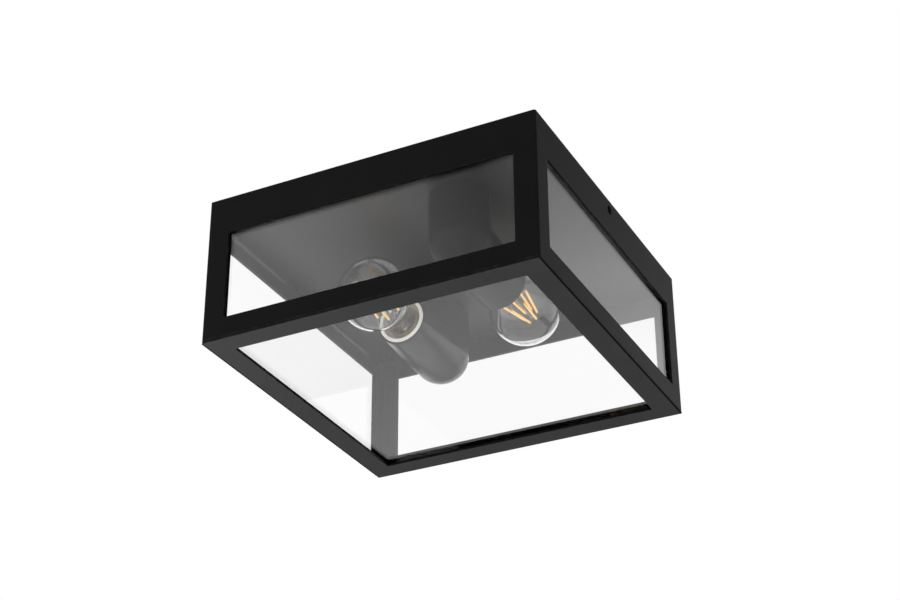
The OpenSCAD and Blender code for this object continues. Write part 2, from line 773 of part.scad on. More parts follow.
// Domed solder tip
module bulb_tip() rotate_extrude() polygon([
    [0, 0], [0.35 * tip_r, 0.08], [0.65 * tip_r, 0.3], [0.88 * tip_r, 0.62],
    [tip_r, tip_h - tip_step], [0, tip_h - tip_step]
]);

// Hollow flared stem, pinched shut at its top
stem_r = 4.2;
pinch_r = 2.2;
pinch_l = 3;

module bulb_stem() rotate_extrude() polygon([
    [flare_r, tube_s + 0.5], [flare_r, tube_s + 1.5], [stem_r + 2, tube_s + 6], [stem_r, tube_s + 11],
    [stem_r - 0.8, strip_start - 4], [pinch_r, strip_start - 2], [pinch_r, strip_start + pinch_l],
    [0, strip_start + pinch_l], [0, tube_s + 11], [stem_r - 1, tube_s + 10.5], [stem_r + 1, tube_s + 5.5],
    [flare_r - 1.5, tube_s + 0.5]
]);

// Nickel rod on the stem, with a spoke to each end of every strip
lead_r = 0.35;
rod_r = 0.6;
seat = lead_r + strip_r * sin(strip_lean) + 0.05;

module bulb_leads() {
    translate([0, 0, strip_start + pinch_l]) cylinder(h = strip_end - strip_start - pinch_l + 1, r = rod_r);
    for (i = [0:strip_n - 1]) rotate(strip_turn + 360 * i / strip_n) {
        translate([pinch_r, 0, strip_start - seat]) rotate([0, 90, 0])
            cylinder(h = strip_low_r - pinch_r, r = lead_r);
        translate([0, 0, strip_end + seat]) rotate([0, 90, 0]) cylinder(h = strip_high_r, r = lead_r);
    }
}

// Straight glowing strips, wider apart at the cap and closer at the far end
module bulb_strips() for (i = [0:strip_n - 1]) rotate(strip_turn + 360 * i / strip_n)
    translate([strip_low_r, 0, strip_start]) rotate([0, -strip_lean, 0])
        cylinder(h = strip_l, r = strip_r);

module left_bulb_glass() color("azure", 0.3) at_lamp(0) bulb_glass();
module right_bulb_glass() color("azure", 0.3) at_lamp(1) bulb_glass();
module left_bulb_cap() color("silver") at_lamp(0) bulb_cap();
module right_bulb_cap() color("silver") at_lamp(1) bulb_cap();
module left_bulb_insulator() color("black") at_lamp(0) bulb_insulator();
module right_bulb_insulator() color("black") at_lamp(1) bulb_insulator();
module left_bulb_tip() color("silver") at_lamp(0) bulb_tip();
module right_bulb_tip() color("silver") at_lamp(1) bulb_tip();
module left_bulb_stem() color("lightblue", 0.5) at_lamp(0) bulb_stem();
module right_bulb_stem() color("lightblue", 0.5) at_lamp(1) bulb_stem();
module left_bulb_leads() color("silver") at_lamp(0) bulb_leads();
module right_bulb_leads() color("silver") at_lamp(1) bulb_leads();
module left_bulb_strips() color("gold") at_lamp(0) bulb_strips();
module right_bulb_strips() color("gold") at_lamp(1) bulb_strips();

front_panel();
back_panel();
left_panel();
right_panel();
bottom_panel();
front_glass();
back_glass();
left_glass();
right_glass();
bottom_glass();
bottom_glass_seal();
glass_corner_angles();
press_nuts();
left_clamp_screw();
right_clamp_screw();
ceiling_box();
cable_grommet();
tray_standoffs();
lamp_tray();
tray_screws();
terminal_block();
terminal_tubes();
terminal_screws();
terminal_block_screw();
earth_stud();
earth_ring();
earth_nuts();
left_elbow();
right_elbow();
nipples();
nipple_nuts();
left_socket();
right_socket();
left_screw_shell();
right_screw_shell();
left_tip_contact();
right_tip_contact();
socket_screws();
socket_terminals();
left_live_wire();
left_neutral_wire();
right_live_wire();
right_neutral_wire();
earth_wire();
left_bulb_glass();
left_bulb_cap();
left_bulb_insulator();
left_bulb_tip();
left_bulb_stem();
left_bulb_leads();
left_bulb_strips();
right_bulb_glass();
right_bulb_cap();
right_bulb_insulator();
right_bulb_tip();
right_bulb_stem();
right_bulb_leads();
right_bulb_strips();
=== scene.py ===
"""Porch ceiling lantern: finishes, lamps, stage and camera on top of the CAD frame."""

import math

import bmesh
import bpy
from bpy.props import FloatProperty, FloatVectorProperty, IntProperty, PointerProperty
from mathutils import Matrix, Vector


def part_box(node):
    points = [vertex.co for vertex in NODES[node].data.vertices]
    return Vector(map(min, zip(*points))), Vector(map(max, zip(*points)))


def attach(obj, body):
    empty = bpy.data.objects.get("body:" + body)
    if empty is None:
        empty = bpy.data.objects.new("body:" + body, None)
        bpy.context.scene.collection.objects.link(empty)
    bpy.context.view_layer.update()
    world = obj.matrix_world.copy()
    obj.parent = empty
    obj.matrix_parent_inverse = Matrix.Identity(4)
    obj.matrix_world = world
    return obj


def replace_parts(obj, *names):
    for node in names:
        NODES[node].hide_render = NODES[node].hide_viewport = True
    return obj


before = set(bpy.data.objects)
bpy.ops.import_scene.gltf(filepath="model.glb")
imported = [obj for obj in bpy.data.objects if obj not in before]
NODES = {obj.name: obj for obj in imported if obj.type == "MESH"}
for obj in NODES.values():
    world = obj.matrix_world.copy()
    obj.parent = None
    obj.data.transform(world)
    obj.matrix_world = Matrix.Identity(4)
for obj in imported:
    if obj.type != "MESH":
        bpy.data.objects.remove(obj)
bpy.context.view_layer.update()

bl_info = {
    "name": "Porch ceiling lantern",
    "version": (1, 0, 0),
    "blender": (4, 5, 0),
    "location": "View3D > Sidebar > Lantern",
    "description": "Finishes a square porch lantern and the two clear lamps inside it",
    "category": "Object",
}

MM = 0.001
RING_POINTS = 72  # in one ring of a screw or of a lamp's cap


# ---- where the lamps lie, and their sizes ----

def lamp_place(side):
    """Lamp space: +Z runs from the lamp's tip contact towards its globe, +Y is up."""
    low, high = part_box(f"{side}_bulb_tip")
    tip_y = high.y if side == "left" else low.y
    middle = (low + high) / 2
    turn = Matrix.Rotation(0 if side == "left" else math.pi, 4, "Z")
    lay = Matrix.Rotation(math.pi / 2, 4, "X")
    return Matrix.Translation((middle.x, tip_y, middle.z)) @ turn @ lay


def node_span(node):
    """Size of a CAD node along x, y and z."""
    low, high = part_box(node)
    return high - low


GLOBE_R = node_span("left_bulb_glass").x / 2
CAP_R = node_span("left_bulb_cap").x / 2
NECK_R = 13.5 * MM

# Heights in lamp space
LAMP_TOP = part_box("left_bulb_tip")[1].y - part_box("left_bulb_glass")[0].y
CAP_TOP = 27 * MM
STRIP_START = 50 * MM
STRIP_FINISH = 87.5 * MM


# ---- sizes and colours a user may change ----

class LANTERN_PG_paint(bpy.types.PropertyGroup):
    """Powder coat of the cover and of the metal inside it"""

    black: FloatVectorProperty(
        name="Black", description="Colour of the powder coat", subtype="COLOR",
        default=(0.0070, 0.0070, 0.0076), min=0, max=1)
    worn: FloatVectorProperty(
        name="Worn edge", description="Colour that shows along rubbed edges", subtype="COLOR",
        default=(0.045, 0.045, 0.047), min=0, max=1)
    roughness: FloatProperty(
        name="Roughness", description="Roughness of the powder coat", default=0.32, min=0, max=1)
    grain: FloatProperty(
        name="Grain size", description="Width of one grain of the powder coat",
        default=0.0009, min=0.0002, max=0.005, unit="LENGTH")
    edge: FloatProperty(
        name="Edge radius", description="Radius over which painted edges look rounded",
        default=0.0011, min=0, max=0.002, unit="LENGTH")


class LANTERN_PG_panes(bpy.types.PropertyGroup):
    """The five flat panes"""

    tint: FloatVectorProperty(
        name="Tint", description="Colour that one face of a pane gives to light", subtype="COLOR",
        default=(0.996, 0.998, 0.997), min=0, max=1)
    smudge: FloatProperty(
        name="Smudges", description="Roughness where the glass was touched",
        default=0.003, min=0, max=0.2)


class LANTERN_PG_lamps(bpy.types.PropertyGroup):
    """Clear screw-in lamps with light strips"""

    wall: FloatProperty(
        name="Glass wall", description="Thickness of the globe's glass",
        default=0.0009, min=0.0004, max=0.0015, unit="LENGTH")
    strips: IntProperty(
        name="Strips", description="Number of light strips in a lamp", default=6, min=2, max=8)
    strip_radius: FloatProperty(
        name="Strip radius", description="Half the width of a light strip",
        default=0.00095, min=0.0005, max=0.002, unit="LENGTH")
    pitch: FloatProperty(
        name="Thread pitch", description="Rise of the cap's thread in one turn",
        default=0.003629, min=0.002, max=0.005, unit="LENGTH")
    glow: FloatVectorProperty(
        name="Glow", description="Colour of the lit strips", subtype="COLOR",
        default=(1.0, 0.55, 0.13), min=0, max=1)


class LANTERN_PG_stage(bpy.types.PropertyGroup):
    """Floor, light and camera"""

    floor: FloatVectorProperty(
        name="Floor", description="Colour of the floor", subtype="COLOR",
        default=(0.78, 0.78, 0.78), min=0, max=1)
    floor_drop: FloatProperty(
        name="Floor drop", description="Distance of the floor below the ceiling",
        default=1.75, min=0.5, max=4, unit="LENGTH")
    room: FloatProperty(
        name="Room light", description="Strength of the soft light from the sides and from below",
        default=1.1, min=0, max=2)
    ceiling: FloatProperty(
        name="Ceiling light", description="Strength of the soft light from above",
        default=0.35, min=0, max=2)
    window: FloatProperty(
        name="Window light", description="Strength of the soft light from the front left",
        default=1.5, min=0, max=3)
    lens: FloatProperty(
        name="Lens", description="Focal length of the camera in millimetres",
        default=74.36, min=20, max=200)


# ---- mesh helpers: a shape is a pair of vertices and faces ----

def new_piece(name, shape, body, sharp, place=None):
    """A smooth-shaded piece that rides on a CAD body; edges above sharp degrees stay crisp."""
    verts, faces = shape
    mesh = bpy.data.meshes.new(name)
    mesh.from_pydata([tuple(v) for v in verts], [], faces)
    mesh.validate()
    bm = bmesh.new()
    bm.from_mesh(mesh)
    bmesh.ops.remove_doubles(bm, verts=bm.verts, dist=1e-7)
    bmesh.ops.recalc_face_normals(bm, faces=bm.faces)
    for face in bm.faces:
        face.smooth = True
    bm.to_mesh(mesh)
    bm.free()
    mesh.set_sharp_from_angle(angle=math.radians(sharp))
    piece = bpy.data.objects.new(name, mesh)
    bpy.context.scene.collection.objects.link(piece)
    if place is not None:
        piece.matrix_world = place
    bpy.context.view_layer.update()
    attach(piece, body)
    return piece


def ring_skin(rings, closed=False):
    """Faces between rings of equally many points, and flat ends where it isn't closed."""
    count = len(rings[0])
    verts = [p for ring in rings for p in ring]
    faces = []
    pairs = range(len(rings)) if closed else range(len(rings) - 1)
    for i in pairs:
        low, high = i * count, ((i + 1) % len(rings)) * count
        for k in range(count):
            m = (k + 1) % count
            faces.append((low + k, low + m, high + m, high + k))
    if not closed:
        faces.append(tuple(range(count)))
        faces.append(tuple((len(rings) - 1) * count + k for k in range(count)))
    return verts, faces


def ring_of(reach, height, steps=RING_POINTS):
    """A ring about Z; reach is its radius, or a function that gives the radius at a turn."""
    ring = []
    for k in range(steps):
        turn = 2 * math.pi * k / steps
        radius = reach(turn) if callable(reach) else reach
        ring.append(Vector((radius * math.cos(turn), radius * math.sin(turn), height)))
    return ring


def lathe(profile, steps, move=None):
    """Turns a closed profile of (radius, height) about Z; move may shift each point."""
    rings = []
    for radius, height in profile:
        ring = ring_of(radius, height, steps)
        if move:
            ring = [move(point, 2 * math.pi * k / steps) for k, point in enumerate(ring)]
        rings.append(ring)
    return ring_skin(rings, closed=True)


def sweep(points, radius, sides):
    """A round wire along points, with its ends closed; radius may be a function of 0 to 1."""
    points = [Vector(p) for p in points]
    side, rings = None, []
    for i, point in enumerate(points):
        ahead = points[min(i + 1, len(points) - 1)] - points[max(i - 1, 0)]
        ahead.normalize()
        if side is None:
            side = ahead.orthogonal().normalized()
        side = (side - ahead * side.dot(ahead)).normalized()
        other = ahead.cross(side)
        width = radius(i / (len(points) - 1)) if callable(radius) else radius
        rings.append([point + width * (math.cos(a) * side + math.sin(a) * other)
                      for a in (2 * math.pi * k / sides for k in range(sides))])
    return ring_skin(rings)


def joined(shapes):
    """Several shapes as one."""
    verts, faces = [], []
    for more_verts, more_faces in shapes:
        start = len(verts)
        verts += list(more_verts)
        faces += [tuple(i + start for i in face) for face in more_faces]
    return verts, faces


def moved(shape, matrix):
    verts, faces = shape
    return [matrix @ Vector(v) for v in verts], faces


def bent(points, per_span):
    """A smooth curve through points."""
    points = [Vector(p) for p in points]
    padded = [points[0], *points, points[-1]]
    curve = []
    for i in range(len(points) - 1):
        a, b, c, d = padded[i:i + 4]
        for k in range(per_span):
            t = k / per_span
            curve.append(0.5 * (2 * b + (c - a) * t + (2 * a - 5 * b + 4 * c - d) * t ** 2
                                + (3 * b - a - 3 * c + d) * t ** 3))
    return [*curve, points[-1]]


# ---- node helpers ----

BEVEL_SAMPLES = 4


def feed(tree, node, inputs):
    """Links or sets a node's inputs, which are given by name or number."""
    for label, value in dict(inputs).items():
        socket = node.inputs[label]
        if isinstance(value, bpy.types.NodeSocket):
            tree.links.new(value, socket)
        elif socket.type == "RGBA":
            socket.default_value = (*value, 1)
        else:
            socket.default_value = value


def add(tree, kind, inputs=(), **settings):
    """A node with its settings and inputs."""
    node = tree.nodes.new(kind)
    for key, value in settings.items():
        setattr(node, key, value)
    feed(tree, node, inputs)
    return node


def new_group(name, inputs, outputs):
    """A shader node group whose sockets are all plain numbers."""
    tree = bpy.data.node_groups.new(name, "ShaderNodeTree")
    number = "NodeSocketFloat"
    for label, value in inputs.items():
        made = tree.interface.new_socket(label, in_out="INPUT", socket_type=number)
        made.default_value = value
    for label in outputs:
        tree.interface.new_socket(label, in_out="OUTPUT", socket_type=number)
    enter = tree.nodes.new("NodeGroupInput")
    leave = tree.nodes.new("NodeGroupOutput")
    return tree, enter.outputs, leave


def math_node(tree, operation, *values, clamp=False):
    return add(tree, "ShaderNodeMath", enumerate(values), operation=operation,
               use_clamp=clamp).outputs[0]


def vary(tree, value, low, rise):
    """A number that rises from low as the value goes from 0 to 1."""
    return math_node(tree, "MULTIPLY_ADD", value, rise, low)


# A Mix node has its numbers at inputs 2 and 3, and its colours at inputs 6 and 7.

def blend_colour(tree, factor, first, second):
    return add(tree, "ShaderNodeMix", {0: factor, 6: first, 7: second},
               data_type="RGBA").outputs[2]


def mix_values(tree, factor, first, second):
    return add(tree, "ShaderNodeMix", {0: factor, 2: first, 3: second},
               data_type="FLOAT").outputs[0]


def spread(tree, value, start, end):
    """0 to 1 as the value goes from start to end."""
    return add(tree, "ShaderNodeMapRange",
               {"Value": value, "From Min": start, "From Max": end}).outputs[0]


def fade(tree, value, ends, first, last):
    """A soft step from the first number to the last as the value goes between the ends."""
    return add(tree, "ShaderNodeMapRange",
               {"Value": value, "From Min": ends[0], "From Max": ends[1], "To Min": first,
                "To Max": last}, interpolation_type="SMOOTHSTEP").outputs[0]


def coordinates(tree, kind="Object"):
    return add(tree, "ShaderNodeTexCoord").outputs[kind]


def split(tree, vector):
    """The X, Y and Z outputs of a vector."""
    return add(tree, "ShaderNodeSeparateXYZ", {0: vector}).outputs


def noise(tree, scale, detail=3, place=None, rough=0.5):
    return add(tree, "ShaderNodeTexNoise",
               {"Scale": scale, "Detail": detail, "Roughness": rough,
                "Vector": place or coordinates(tree)}).outputs["Fac"]


def new_material(name):
    material = bpy.data.materials.new(name)
    material.use_nodes = True
    tree = material.node_tree
    return material, tree, tree.nodes["Principled BSDF"]


def bump(tree, shader, height, distance, strength, edge=0.0):
    """Height as a bump, over edges rounded by the bevel radius where one is given."""
    node = add(tree, "ShaderNodeBump",
               {"Strength": strength, "Distance": distance, "Height": height})
    if edge:
        rounded = add(tree, "ShaderNodeBevel", {"Radius": edge}, samples=BEVEL_SAMPLES)
        tree.links.new(rounded.outputs[0], node.inputs["Normal"])
    tree.links.new(node.outputs[0], shader.inputs["Normal"])


# ---- effects that several finishes share ----

def grain_group(name):
    """Pebbled skin of a powder coat: its height, and a slow mottle of its tone."""
    tree, given, leave = new_group(name, {"Grain size": 0.0009}, ("Height", "Mottle"))
    scale = math_node(tree, "DIVIDE", 1.0, given["Grain size"])
    place = coordinates(tree)
    wide = math_node(tree, "MULTIPLY", noise(tree, 26.0, 5, place, 0.6), 0.65)
    cloud = math_node(tree, "MULTIPLY", noise(tree, 160.0, 3, place), 0.35)
    feed(tree, leave, {"Height": noise(tree, scale, 2, place, 0.45),
                       "Mottle": math_node(tree, "ADD", wide, cloud)})
    return tree


def wear_group(name):
    """Mask of the edges that are rubbed, broken up so that the line isn't even."""
    tree, given, leave = new_group(name, {"Radius": 0.0008, "Amount": 0.5}, ("Mask",))
    rounded = add(tree, "ShaderNodeBevel", {"Radius": given["Radius"]}, samples=BEVEL_SAMPLES)
    flat = add(tree, "ShaderNodeNewGeometry").outputs["Normal"]
    dot = add(tree, "ShaderNodeVectorMath", {0: rounded.outputs[0], 1: flat},
              operation="DOT_PRODUCT")
    turned = math_node(tree, "SUBTRACT", 1.0, dot.outputs["Value"], clamp=True)
    edge = math_node(tree, "MULTIPLY", turned, 5.0, clamp=True)
    broken = spread(tree, noise(tree, 210.0, 4), 0.42, 0.68)
    mask = math_node(tree, "MULTIPLY", edge, broken)
    feed(tree, leave, {"Mask": math_node(tree, "MULTIPLY", mask, given["Amount"], clamp=True)})
    return tree


def dust_group(name):
    """Thin dust that settles on faces that look up, in soft patches."""
    tree, given, leave = new_group(name, {"Amount": 0.3}, ("Mask",))
    normal = split(tree, add(tree, "ShaderNodeNewGeometry").outputs["Normal"])
    up = math_node(tree, "MULTIPLY", normal["Z"], 1.2, clamp=True)
    cloud = noise(tree, 34.0, 6, rough=0.65)
    patch = math_node(tree, "MULTIPLY_ADD", cloud, 1.6, -0.35, clamp=True)
    both = math_node(tree, "MULTIPLY", up, patch)
    feed(tree, leave, {"Mask": math_node(tree, "MULTIPLY", both, given["Amount"], clamp=True)})
    return tree


def drawn_group(name):
    """Fine lines along Y and slow stains of bare metal."""
    tree, given, leave = new_group(name, {"Lines": 900.0}, ("Line", "Stain"))
    place = coordinates(tree)
    mapped = add(tree, "ShaderNodeMapping", {"Scale": (1.0, 0.06, 1.0), "Vector": place})
    feed(tree, leave, {"Line": noise(tree, given["Lines"], 3, mapped.outputs[0]),
                       "Stain": noise(tree, 120.0, 5, place, 0.6)})
    return tree


def handled_group(name):
    """Roughness and faint waves of handled glass."""
    tree, given, leave = new_group(name, {"Most": 0.02}, ("Roughness", "Wave"))
    place = coordinates(tree)
    patch = spread(tree, noise(tree, 19.0, 6, place, 0.7), 0.55, 0.78)
    feed(tree, leave, {"Roughness": math_node(tree, "MULTIPLY", patch, given["Most"]),
                       "Wave": noise(tree, 7.0, 1, place)})
    return tree


EFFECTS = {
    "Powder grain": grain_group,
    "Edge wear": wear_group,
    "Settled dust": dust_group,
    "Drawn metal": drawn_group,
    "Handled glass": handled_group,
}


def effect(tree, name, **inputs):
    """The outputs of a shared effect, whose node group is made once."""
    group = bpy.data.node_groups.get(name) or EFFECTS[name](name)
    values = {label.replace("_", " "): value for label, value in inputs.items()}
    return add(tree, "ShaderNodeGroup", values, node_tree=group).outputs


# ---- finishes ----

DUST = (0.20, 0.19, 0.175)
# Strength of the porcelain's painted glow: emission that stands in for the lamp's light falling on
# it
PAINTED_PORCELAIN_GLOW = 0.42
STRIP_GLOW = 0.68


def shaded(colour, factor):
    return tuple(min(1, c * factor) for c in colour)


def paint_finish(name, colour, worn, roughness, grain, edge, wear=0.5, dust=0.25, level=0.02,
                 relief=0.04):
    """Textured powder coat with rubbed edges and a little dust on top."""
    material, tree, shader = new_material(name)
    pebble = effect(tree, "Powder grain", Grain_size=grain)
    tone = blend_colour(tree, pebble["Mottle"], shaded(colour, 0.74), shaded(colour, 1.28))
    rubbed = effect(tree, "Edge wear", Radius=max(edge * 1.6, 0.0004), Amount=wear)
    tone = blend_colour(tree, rubbed["Mask"], tone, worn)
    settled = effect(tree, "Settled dust", Amount=dust)
    feed(tree, shader, {
        "Base Color": blend_colour(tree, settled["Mask"], tone, DUST),
        "Roughness": vary(tree, pebble["Mottle"], roughness - 0.08, 0.16),
        "Specular IOR Level": level})
    bump(tree, shader, pebble["Height"], grain * relief, 0.5, edge)
    return material


def metal_finish(name, colour, stain, roughness, metallic=1.0):
    """Bare or plated metal with drawn lines and slow stains."""
    material, tree, shader = new_material(name)
    drawn = effect(tree, "Drawn metal")
    stained = spread(tree, drawn["Stain"], 0.4, 0.75)
    feed(tree, shader, {
        "Base Color": blend_colour(tree, stained, colour, stain),
        "Roughness": vary(tree, drawn["Line"], roughness - 0.06, 0.18),
        "Metallic": metallic})
    bump(tree, shader, drawn["Line"], 0.00002, 0.4, 0.0002)
    return material


def pane_finish(name, tint, smudge, ior):
    """Clear float glass with faint waves and touched patches."""
    material, tree, shader = new_material(name)
    handled = effect(tree, "Handled glass", Most=smudge)
    feed(tree, shader, {"Base Color": tint, "Transmission Weight": 1.0, "IOR": ior,
                        "Roughness": handled["Roughness"]})
    bump(tree, shader, handled["Wave"], 0.00001, 0.1)
    return material


def globe_finish(name, tint):
    """Blown lamp glass with slow swirls."""
    material, tree, shader = new_material(name)
    feed(tree, shader, {"Base Color": tint, "Transmission Weight": 1.0, "IOR": 1.5,
                        "Roughness": 0.0})
    bump(tree, shader, noise(tree, 30.0, 1), 0.00004, 0.2)
    return material


def porcelain_finish(name, colour, shade, bore_shade_colour, face):
    """Rippled white porcelain: a painted glow of the lamp's light lies on all of it, and painted
    shade, brown and dimmer, lies deeper in its hole.

    face is how far the socket's front face lies from the lantern's middle, along Y.
    """
    material, tree, shader = new_material(name)
    cloud = noise(tree, 90.0, 4)
    out = math_node(tree, "ABSOLUTE", split(tree, coordinates(tree))["Y"])
    # 1 on the front face and 0 deeper in: the deeper part gets painted shade, a brown base colour
    #                                      and a dim brown glow
    rim = fade(tree, out, (face + 0.0002, face + 0.0016), 1.0, 0.0)
    tone = blend_colour(tree, rim, bore_shade_colour, blend_colour(tree, cloud, shade, colour))
    feed(tree, shader, {
        "Base Color": tone,
        "Roughness": vary(tree, noise(tree, 260.0), 0.16, 0.16),
        "Coat Weight": 0.6, "Coat Roughness": 0.06,
        "Emission Color": blend_colour(tree, rim, shaded(bore_shade_colour, 0.3), colour),
        "Emission Strength": PAINTED_PORCELAIN_GLOW})
    bump(tree, shader, cloud, 0.00012, 0.4, 0.0006)
    return material


def moulded_finish(name, colour, roughness, grain=600.0, depth=0.00003, edge=0.0003):
    """Moulded plastic, rubber or sponge with a fine skin and slight shade changes."""
    material, tree, shader = new_material(name)
    cloud = noise(tree, 140.0, 4)
    feed(tree, shader, {
        "Base Color": blend_colour(tree, cloud, shaded(colour, 0.85), shaded(colour, 1.1)),
        "Roughness": vary(tree, cloud, roughness - 0.07, 0.15)})
    bump(tree, shader, noise(tree, grain), depth, 0.6, edge)
    return material


def strip_finish(name, glow):
    """Phosphor gel of a lit strip: amber along its middle, paler towards its rims."""
    material, tree, shader = new_material(name)
    grainy = noise(tree, 1500.0, 2)
    deep, pale = (glow[0], glow[1] * 0.8, glow[2] * 0.5), (1.0, 0.82, 0.42)
    facing = add(tree, "ShaderNodeLayerWeight", {"Blend": 0.5}).outputs["Facing"]
    rim = math_node(tree, "POWER", facing, 2.0)
    feed(tree, shader, {
        "Base Color": blend_colour(tree, grainy, (0.85, 0.5, 0.1), (0.95, 0.66, 0.2)),
        "Roughness": 0.55,
        "Emission Color": blend_colour(tree, rim, blend_colour(tree, grainy, deep, glow), pale),
        "Emission Strength": STRIP_GLOW})
    bump(tree, shader, grainy, 0.00008, 0.5)
    return material


def dress(finish, *names):
    """Gives a finish to CAD nodes."""
    for name in names:
        mesh = NODES[name].data
        mesh.materials.clear()
        mesh.materials.append(finish)


def dressed(finish, piece):
    piece.data.materials.append(finish)
    return piece


def paint(scene, name, **changes):
    """The black powder coat with the panel's values, apart from the changes."""
    own = scene.lantern_paint
    values = dict(colour=own.black, worn=own.worn, roughness=own.roughness, grain=own.grain,
                  edge=own.edge)
    return paint_finish(name, **{**values, **changes})


def smooth_paint(scene, name, **changes):
    """The smoother, shinier coat of the tray and the lampholders."""
    values = dict(roughness=0.42, edge=0.0003, wear=0.0, dust=0.1, level=0.45, relief=0.002)
    return paint(scene, name, **{**values, **changes})


METALS = {
    "Zinc plate": dict(colour=(0.60, 0.61, 0.62), stain=(0.42, 0.43, 0.44), roughness=0.34),
    "Brass": dict(colour=(0.74, 0.56, 0.25), stain=(0.48, 0.33, 0.14), roughness=0.30),
    "Nickel": dict(colour=(0.72, 0.65, 0.52), stain=(0.54, 0.46, 0.34), roughness=0.22),
    "Solder": dict(colour=(0.55, 0.55, 0.54), stain=(0.36, 0.36, 0.36), roughness=0.42),
    "Black oxide": dict(colour=(0.035, 0.034, 0.033), stain=(0.06, 0.05, 0.045),
                        roughness=0.38, metallic=0.6),
}


def bare(name):
    """The bare metal of that name, made once."""
    return bpy.data.materials.get(name) or metal_finish(name, **METALS[name])


# ---- threads and screws ----

def threaded(radius, depth, pitch, low, high, per_pitch):
    """Rings of a rolled thread between two heights; its crest is at the radius."""
    run_out = pitch * 0.8
    rows = max(8, int((high - low) / pitch * per_pitch))

    def ring_at(height):
        cut = depth * min(1.0, max(0.0, min(height - low, high - height) / run_out))
        lead = 2 * math.pi * height / pitch
        return ring_of(lambda turn: radius - cut * (0.5 - 0.5 * math.cos(lead - turn)), height)

    return [ring_at(low + (high - low) * i / rows) for i in range(rows + 1)]


def hex_ring(across, height):
    """A hexagon drawn with the same number of points as the round rings."""
    def reach(turn):
        inside = (turn + math.pi / 6) % (math.pi / 3) - math.pi / 6
        return across / 2 / math.cos(inside)

    return ring_of(reach, height)


def clamp_screw_mesh(radius, length, key, key_depth):
    """Socket set screw: cone point, thread, chamfer, and a hexagonal socket in its outer end."""
    pitch, depth, chamfer, drilled = 0.0007, 0.0003, 0.0003, 0.0003
    rings = [ring_of(radius * 0.45, 0), ring_of(radius * 0.62, 0.0002)]
    rings += threaded(radius, depth, pitch, 0.0005, length - chamfer, 8)
    rings += [ring_of(radius * 0.9, length), ring_of(radius * 0.66, length),
              hex_ring(key * 1.06, length - 0.0001), hex_ring(key, length - chamfer),
              hex_ring(key, length - key_depth), hex_ring(key * 0.3, length - key_depth - drilled)]
    return ring_skin(rings)


def pan_head_mesh(head_r, head_h, shank_r, shank_l):
    """Pan-head screw with a cross recess, its head hanging down and its shank up."""
    pitch, depth, head_steps = 0.0005, 0.0003, 6
    rings = [ring_of(shank_r * 0.7, shank_l), ring_of(shank_r * 0.92, shank_l - 0.0003)]
    rings += reversed(threaded(shank_r, depth, pitch, 0.0, shank_l - 0.0004, 8))
    rings.append(ring_of(head_r * 0.98, 0.0))
    for i in range(head_steps + 1):
        turn = math.pi / 2 * i / head_steps
        rings.append(ring_of(head_r * (0.72 + 0.28 * math.cos(turn)),
                             -head_h * (0.35 + 0.65 * math.sin(turn))))

    def cross(scale, height):
        def reach(turn):
            return head_r * scale * (0.24 + 0.34 * abs(math.cos(2 * turn)) ** 6)
        return ring_of(reach, height)

    rings += [cross(1.0, -head_h), cross(0.92, -head_h * 0.72), cross(0.45, -head_h * 0.25)]
    return ring_skin(rings)


# ---- lamp shapes, in lamp space ----

NEAR_AXIS = 1e-5


def outline(base, *points):
    """A profile from radii and heights above the base in millimetres, kept off the axis."""
    return [(max(radius * MM, NEAR_AXIS), base + height * MM) for radius, height in points]


def globe_profile(wall):
    """Closed outline of the blown glass: out along the outside, back along the inside."""
    centre = LAMP_TOP - GLOBE_R
    rise = centre - CAP_TOP
    arc_r = (rise ** 2 + NECK_R ** 2 - GLOBE_R ** 2) / (2 * (GLOBE_R - NECK_R))
    arc_end = math.atan2(rise, NECK_R + arc_r)
    arc_steps, globe_steps = 18, 40

    def side(inset):
        line = []
        for i in range(arc_steps + 1):
            a = arc_end * i / arc_steps
            line.append((NECK_R + arc_r - (arc_r + inset) * math.cos(a),
                         CAP_TOP + (arc_r + inset) * math.sin(a)))
        start = math.pi / 2 - arc_end
        for i in range(1, globe_steps + 1):
            a = start + (math.pi - start) * i / globe_steps
            line.append(((GLOBE_R - inset) * max(math.sin(a), 1e-5),
                         centre - (GLOBE_R - inset) * math.cos(a)))
        return line

    tube_r, tube_start, tube_end = 12.2 * MM, 22 * MM, CAP_TOP - 0.3 * MM
    outside = [(tube_r, tube_start), (tube_r, tube_end), *side(0.0)]
    inside = [(tube_r - wall, tube_start), (tube_r - wall, tube_end), *side(wall)]
    return outside + inside[::-1]


def cap_mesh(pitch):
    """Lamp cap: foot, rolled thread, plain skirt with its row of dimples, open inside."""
    foot_r, skirt_r, inner_r = 8.4 * MM, CAP_R - 0.4 * MM, CAP_R - 1.6 * MM

    def dimpled(turn):
        return skirt_r - 0.25 * MM * max(0.0, math.cos(turn * 12)) ** 4

    def rings_of(*rows):
        """Rings of a radius in metres and a height in millimetres"""
        return [ring_of(reach, height * MM) for reach, height in rows]

    rings = rings_of((foot_r, 1.6), (9.0 * MM, 1.6), (CAP_R - 1.5 * MM, 3.8),
                     (CAP_R - 0.9 * MM, 4.6))
    rings += threaded(CAP_R, 0.9 * MM, pitch, 5.4 * MM, 19.4 * MM, 12)
    rings += rings_of((CAP_R - 0.35 * MM, 19.8), (skirt_r, 20.4), (skirt_r, 22.8),
                      (dimpled, 23.5), (skirt_r, 24.2), (skirt_r, 26.7),
                      (CAP_R - 0.55 * MM, 27), (CAP_R - 0.75 * MM, 27), (CAP_R - 0.8 * MM, 20),
                      (inner_r, 19), (inner_r, 6), (foot_r, 4))
    return ring_skin(rings, closed=True)


def insulator_mesh():
    """Black glass foot of the cap with its moulded ring."""
    return lathe(outline(0, (0, 1), (4.4, 1), (5.4, 1.25), (6.2, 1.1), (7, 1.45), (8.35, 1.6),
                         (8.4, 4), (0, 4)), 72)


